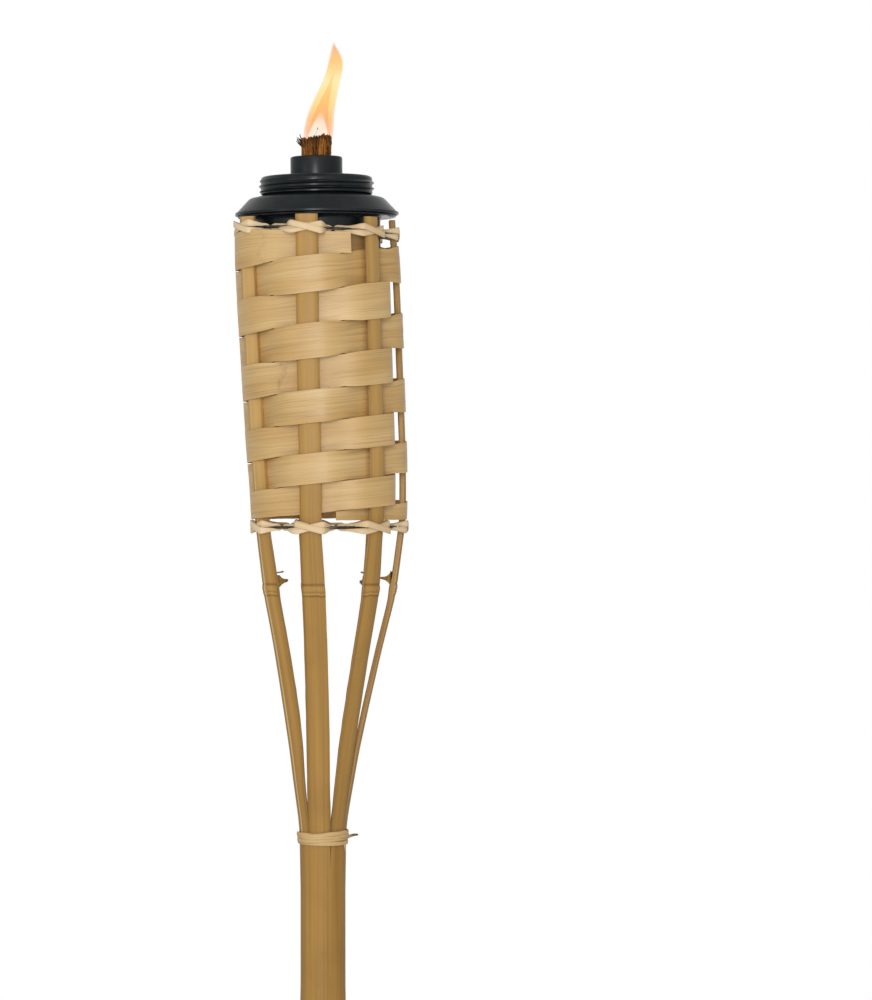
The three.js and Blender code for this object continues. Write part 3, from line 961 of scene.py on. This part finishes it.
def raffia_sliver(radius, z):
    """A split-off sliver that hangs from the wraps and narrows downwards."""
    corners = ((-0.75, -0.2), (0.75, -0.2), (0.75, 0.2), (-0.75, 0.2))
    top = polar(radius, radians(SLIVER_AZIMUTH), z)
    rings = []
    for i, t in enumerate(np.linspace(0, 4, 6)):
        p = top + (0.25 * t, -0.3, -1.7 * t)
        rings.append([p + (x * (1 - 0.2 * i), y, 0) for x, y in corners])
    return ring_piece("sliver", rings, [RAFFIA])


def add_binding():
    low, high = box_mm("pole_binding")
    radius = high[0] - 0.75
    pieces = []
    for layer, (foot, tilt, highest, width) in enumerate(WRAPS):
        path, widths = [], []
        for azimuth in np.arange(0, 360, 3.0):
            a = radians(azimuth)
            wander = uneven(sin(a) * 2, cos(a) * 2, layer * 3)
            r = radius + 0.12 * layer + 0.3 * sin(2 * a + layer * 1.7)
            z = low[2] + foot + tilt * cos(a - radians(highest)) + 0.4 * wander
            path.append(polar(r, a, z))
            widths.append(width * (1 + 0.3 * wander))
        pieces.append(ribbon_piece(f"wrap_{layer}", path, widths, WRAP_THICK, RAFFIA, 9, 0.4, 0.5))
    pieces.append(raffia_tail(radius, high[2] - 3.6))
    pieces.append(raffia_sliver(radius, low[2] + 3.4))
    piece = join(*pieces)
    piece.name = "pole_binding_cane"
    finish_mesh(piece, sharp=50)
    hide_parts("pole_binding")


# ---- the head ----
CANISTER = {"radius": 38, "wall": 1, "depth": 105, "rim": 47.4, "rim_thick": 1}
COVER = {"lip": 49, "shoulder": 40.8, "bend": 11.4, "neck": 31.2, "wall": 1.2, "top": 22.1}
CAP = {"root": 33.4, "crest": 34.6, "wall": 0.9, "bottom": 14.3, "top": 24.9, "pitch": 3.4}
SEAL_WIDTH = 4
HOLDER = {"radius": 15.6, "top": 36.9, "bore": 9.2, "wall": 1, "tube_end": -20}
WICK = {"radius": 8.6, "flare": 10.2, "top": 50.8}


def add_canister():
    radius, wall, depth, rim, thick = CANISTER.values()
    outline = [
        (0, -depth + 2), (radius - 9, -depth + 2), (radius - 7, -depth), (radius - 3, -depth),
        (radius, -depth + 4), (radius, GAP - 1.5), (radius + 1.5, GAP), (rim, GAP),
        (rim, GAP + thick), (radius - wall + 1.5, GAP + thick), (radius - wall, GAP - 1.5),
        (radius - wall, -depth + 4), (radius - 3, -depth + wall + 2), (0, -depth + wall + 2),
    ]
    piece = turned_piece("canister_shell", rounded(outline, 1.4), ENAMEL, "oil_canister")
    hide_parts("canister")


def add_cover():
    lip, shoulder, bend, neck, wall, top = COVER.values()
    bottom = 2 * GAP + CANISTER["rim_thick"]
    outline = [
        (lip - wall, bottom + 0.2), (lip - 0.3, bottom), (lip, bottom + 0.3), (lip, bottom + 1.4),
        (lip - 0.25, bottom + 1.8), (lip - 1.1, bottom + 1.9), (lip - 1.4, bottom + 2.4),
        (shoulder + 0.3, bend - 0.4), (shoulder - 1.2, bend + 0.6), (neck + 2.6, bend + 1.9),
        (neck, bend + 2.5), (neck, top - 0.4), (neck - 0.4, top), (neck - wall, top),
        (neck - wall, bend + 1.2), (shoulder - 1.8, bend - 0.6), (shoulder - 0.8, bend - 1.4),
        (lip - wall - 0.6, bottom + 1.3), (lip - wall, bottom + 0.2),
    ]
    piece = turned_piece("canister_cone", rounded(outline, 0.9)[:-1], ENAMEL, "oil_canister")
    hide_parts("canister_cover")


def add_seal():
    low, high = COVER["top"] + GAP, CAP["top"] - CAP["wall"] - GAP
    inner, outer = COVER["neck"] - SEAL_WIDTH, COVER["neck"]
    outline = [(inner, low), (outer, low), (outer, high), (inner, high), (inner, low)]
    piece = turned_piece("seal_ring", rounded(outline, 0.4)[:-1], RUBBER, "seal")
    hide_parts("cap_seal")


def thread_height(z, azimuth):
    """How far the rolled thread stands out of the cap's skirt, as a right-hand helix that fades at
    both ends."""
    first, last = CAP["bottom"] + 0.6, CAP["top"] - 1.6
    turns = (z - first) / CAP["pitch"] - azimuth / (2 * pi)
    off = turns - floor(turns) - 0.5
    fade = held((z - first) / 1.2) * held((last - z) / 1.4)
    return (CAP["crest"] - CAP["root"]) * bell(off / 0.2) * fade


def add_cap():
    root, _, wall, bottom, top, _ = CAP.values()
    stem = HOLDER["bore"] + HOLDER["wall"] + GAP
    skirt = [(root, z) for z in np.arange(bottom + 0.3, top - 1.4, 0.28)]
    outline = [
        (root - wall, bottom + 0.3), (root - 0.3, bottom), *skirt, (root - 0.35, top - 0.75),
        (root - 0.9, top - 0.25), (root - 1.7, top), (stem, top), (stem, top - wall),
        (root - wall - 0.6, top - wall), (root - wall, top - wall - 0.6),
    ]

    def shape(r, z, azimuth):
        return (r + thread_height(z, azimuth), z) if r == root else (r, z)

    piece = turned_piece("screw_cap_shell", outline, ENAMEL, "burner_cap", 192, shape=shape)
    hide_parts("screw_cap")


def add_holder():
    radius, top, bore, wall, tube_end = HOLDER.values()
    seat = CAP["top"] + GAP
    outline = [
        (bore, tube_end + 0.5), (bore + wall / 2, tube_end), (bore + wall, tube_end + 0.5),
        (bore + wall, top - wall - 0.6),
        (bore + wall + 0.6, top - wall), (radius - wall - 0.6, top - wall),
        (radius - wall, top - wall - 0.6), (radius - wall, seat), (radius, seat), (radius, top - 1.1),
        (radius - 0.3, top - 0.35), (radius - 1.1, top), (bore + 0.5, top), (bore, top - 0.5),
    ]
    piece = turned_piece("wick_holder_cup", outline, ENAMEL, "burner_cap")
    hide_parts("wick_holder")


WICK_DOWN = 4  # how far the wick can be drawn down into its holder, where no strand may stick out
FIBRE_COUNT = 260
STRAY_COUNT = 22
CREASE = radians(-4)  # azimuth of the deep crease that the wick's fibres fan out from
FOLD_DEPTH = 0.09  # of the wick's radius
STRAY_SIDES = (radians(-98), 0.4), (radians(95), 0.3)  # where strays stick out, and spread
HOLDER_CLEARANCE = 0.7


def fibre_tube(points, radius):
    """The rings of a thin tube through points, half as thick at its end."""
    taper = np.linspace(radius, radius / 2, len(points))
    return [[p + (r * cos(a), r * sin(a), 0) for a in circle(4)] for p, r in zip(points, taper)]


def fold(azimuth, z):
    """The wick's lengthwise creases, from 0 on a fold to 1 in a crease."""
    return bell(uneven(sin(azimuth) * 3.2, cos(azimuth) * 3.2, z / 14) / 0.09)


def torn_top(azimuth):
    """How far the wick's torn top stands over its mean height, highest on the right."""
    rag = uneven(sin(azimuth) * 3, cos(azimuth) * 3, 3)
    return 1.1 * sin(azimuth) + 1.5 * rag - 0.4


def core_surface(r, z, azimuth):
    """The wick's bundle above its holder: creased sides and a torn top."""
    if z < HOLDER["top"] - 1 or r < 1:
        return r, z
    torn = torn_top(azimuth) if z > WICK["top"] - 5 else 0
    return r * (1 - FOLD_DEPTH * fold(azimuth, z)), z + torn


def add_wick():
    draw = random.Random(11)
    radius, flare, top = WICK.values()
    low = box_mm("wick")[0][2] - STAVE_TOP_Z
    neck = HOLDER["top"]
    core = [
        (0, low), (radius - 1, low), (radius, low + 2), (radius, neck), (radius - 0.1, neck + 3),
        (radius, neck + 6), (radius + 0.3, neck + 9), (flare - 0.9, top - 3.6),
        (flare - 0.9, top - 2.6), (flare - 1.7, top - 2), (flare - 3, top - 3),
        (flare - 5, top - 4), (0, top - 4.4),
    ]
    wick = turned_piece("wick_bundle", core, FIBRE_SHADED, "wick", 144, shape=core_surface)
    points, faces, marks = [], [], []

    def add_fibre(route, thick, char_and_shade):
        rings = fibre_tube(route, thick)
        size = len(rings[0])
        faces.extend(skin_faces(len(rings), size, first=len(points)))
        for ring, mark in zip(rings, np.linspace(*char_and_shade, len(rings))):
            points.extend(ring)
            marks.extend([mark] * size)

    girth = ((neck, radius), (neck + 6, radius + 0.1), (top - 3, flare - 0.9), (top, flare - 1.4))
    for _ in range(FIBRE_COUNT):
        azimuth = draw.uniform(-pi, pi)
        from_crease = azimuth - CREASE
        start = neck - 1.2 if draw.random() < 0.6 else neck + draw.uniform(1, 6)
        short = draw.uniform(0, 1.2) if draw.random() < 0.6 else draw.uniform(1, 7)
        end = top - 1 + torn_top(azimuth) - short
        fan = 2.6 * tanh(2 * from_crease) * exp(-abs(from_crease))
        sway = fan + draw.uniform(-0.8, 0.8)
        depth = draw.uniform(0, 0.6)
        route = []
        for t in np.linspace(0, 1, 8):
            z = start + (end - start) * t
            r = lookup(girth, z) - depth - 2.5 * max(t - 0.8, 0)
            if z < neck + WICK_DOWN + 0.8:
                r = min(r, HOLDER["bore"] - HOLDER_CLEARANCE)
            route.append(polar(r, azimuth + sway * t * t / radius, z))
        # Painted shade darkens the fibres in the crease; they are darker too round 1.2 radians, and a
        # few at random.
        tint = 0.7 * bell(from_crease / 0.2) + 0.5 * bell((azimuth - 1.2) / 0.35)
        tint += draw.choice((0, 0, 0, 0.1, 0.45))
        add_fibre(route, draw.uniform(0.32, 0.62), (tint, tint + 0.15))
    for stray in range(STRAY_COUNT):
        on_left = stray % 6 > 0
        azimuth = draw.gauss(*STRAY_SIDES[0 if on_left else 1])
        start = neck + WICK_DOWN + draw.uniform(0.4, 5.5)
        reach = draw.uniform(0.8, 3.6) if on_left else draw.uniform(0.3, 0.9)
        lift, curl = draw.uniform(2, 5), draw.uniform(2, 5)
        route = [
            polar(radius - 0.6 + reach * t ** 0.6, azimuth, start + lift * t * t)
            + (0.5 * sin(curl * t), 0.5 * cos(curl * t), 0)
            for t in np.linspace(0, 1, 9)
        ]
        add_fibre(route, draw.uniform(0.3, 0.5), (0.75, 1))
    route = [
        np.array((-1 + 2.2 * t, -radius + 2.5, top - 1.5 + 4.6 * t ** 1.5))
        for t in np.linspace(0, 1, 7)
    ]
    add_fibre(route, 0.4, (0.8, 1))
    fibres = new_object("wick_strands", points, faces, [FIBRE], "wick")
    set_marks(fibres, marks)
    place_head(fibres)
    finish_mesh(fibres, sharp=80)
    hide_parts("wick")


# Height above the flame's foot, sideways lean and half width of the flame, which bends to the right.
FLAME_SHAPE = (
    (0, 0.9, 8.6), (2, 1.2, 8.8), (8, 1.8, 8.7), (14.5, 2.8, 8.1), (20, 4.2, 7.4), (25.5, 6.0, 6.7),
    (32, 8.4, 5.8), (38.8, 10.6, 5.1), (42, 11.5, 4.9), (45.4, 12.1, 4.6), (49, 12.3, 3.9),
    (52, 12.0, 2.9), (55.5, 11.5, 1.5), (58.4, 11.2, 0.1),
)
FLAME_FOOT = WICK["top"] - 4
FLAME_TIP = 0.02
# Each shell of the flame: its material, its height and width as shares of the flame's, its depth as a
# share of its width, and how the tip of an inner shell tapers.
FLAME_SHELLS = (
    ("body", FLAME, 1, 1, 0.45, 0), ("veil", FLAME, 0.97, 0.87, 0.45, 0),
    ("heart", FLAME_HEART, 0.74, 0.8, 0.7, 0.95), ("core", FLAME_CORE, 0.44, 0.78, 1.15, 0.9),
)


def add_flame():
    heights, leans, widths = zip(*FLAME_SHAPE)
    for name, material, tall, wide, depth, taper in FLAME_SHELLS:
        rings = []
        for share in np.linspace(0, 1, 60):
            h = share * tall * heights[-1]
            tip = min(1, (1 - share) * 1.02) ** taper
            width = np.interp(h if taper else share * heights[-1], heights, widths)
            half = max(width * wide * tip, FLAME_TIP)
            middle = np.array((np.interp(h, heights, leans), 0, FLAME_FOOT + h))
            rings.append([middle + polar(half, a, 0) * (1, depth, 1) for a in circle(64)])
        shell = ring_piece(f"flame_{name}", rings, [material], "wick")
        place_head(shell)
        finish_mesh(shell, sharp=80)


# ---- the studio ----
def add_light(name, location_m, aim_m, size_m, watts):
    data = bpy.data.lights.new(name, "AREA")
    data.shape = "RECTANGLE"
    data.size, data.size_y = size_m
    data.energy = watts
    light = scene_object(name, data)
    light.location = location_m
    light.rotation_euler = (Vector(aim_m) - Vector(location_m)).to_track_quat("-Z", "Y").to_euler()


def add_world():
    """A white studio that is greyer at its far sides and above."""
    world = bpy.data.worlds.new("studio")
    bpy.context.scene.world = world
    sky = Shading(world)
    way = sky.node("SeparateXYZ", {0: sky.node("TexCoord").outputs["Generated"]}).outputs
    off = sky.math("MAXIMUM", sky.math("ABSOLUTE", way["X"]), way["Z"])
    shade = sky.ramp(off, (0.2, 1), (0.85, 0.42))
    sky.links.new(shade, sky.nodes["Background"].inputs["Color"])


FLOOR_HALF_M = 3


def add_studio():
    ground = scene_object("studio_floor", bpy.data.meshes.new("studio_floor"))
    with edited(ground) as mesh:
        bmesh.ops.create_grid(mesh, x_segments=8, y_segments=8, size=FLOOR_HALF_M)
    ground.data.materials.append(studio_pale())
    add_world()
    bpy.context.scene.view_settings.view_transform = "Standard"
    add_light("key", (-0.2, -2.2, 1.62), (0, 0, 1.38), (0.45, 0.9), 13)
    add_light("fill", (-1.6, -1.3, 1.5), (0, 0, 1.35), (0.5, 1.2), 2)


add_pole()
add_staves()
add_weave()
add_lashings()
add_hoops()
add_binding()
add_canister()
add_cover()
add_seal()
add_cap()
add_holder()
add_wick()
add_flame()
add_studio()
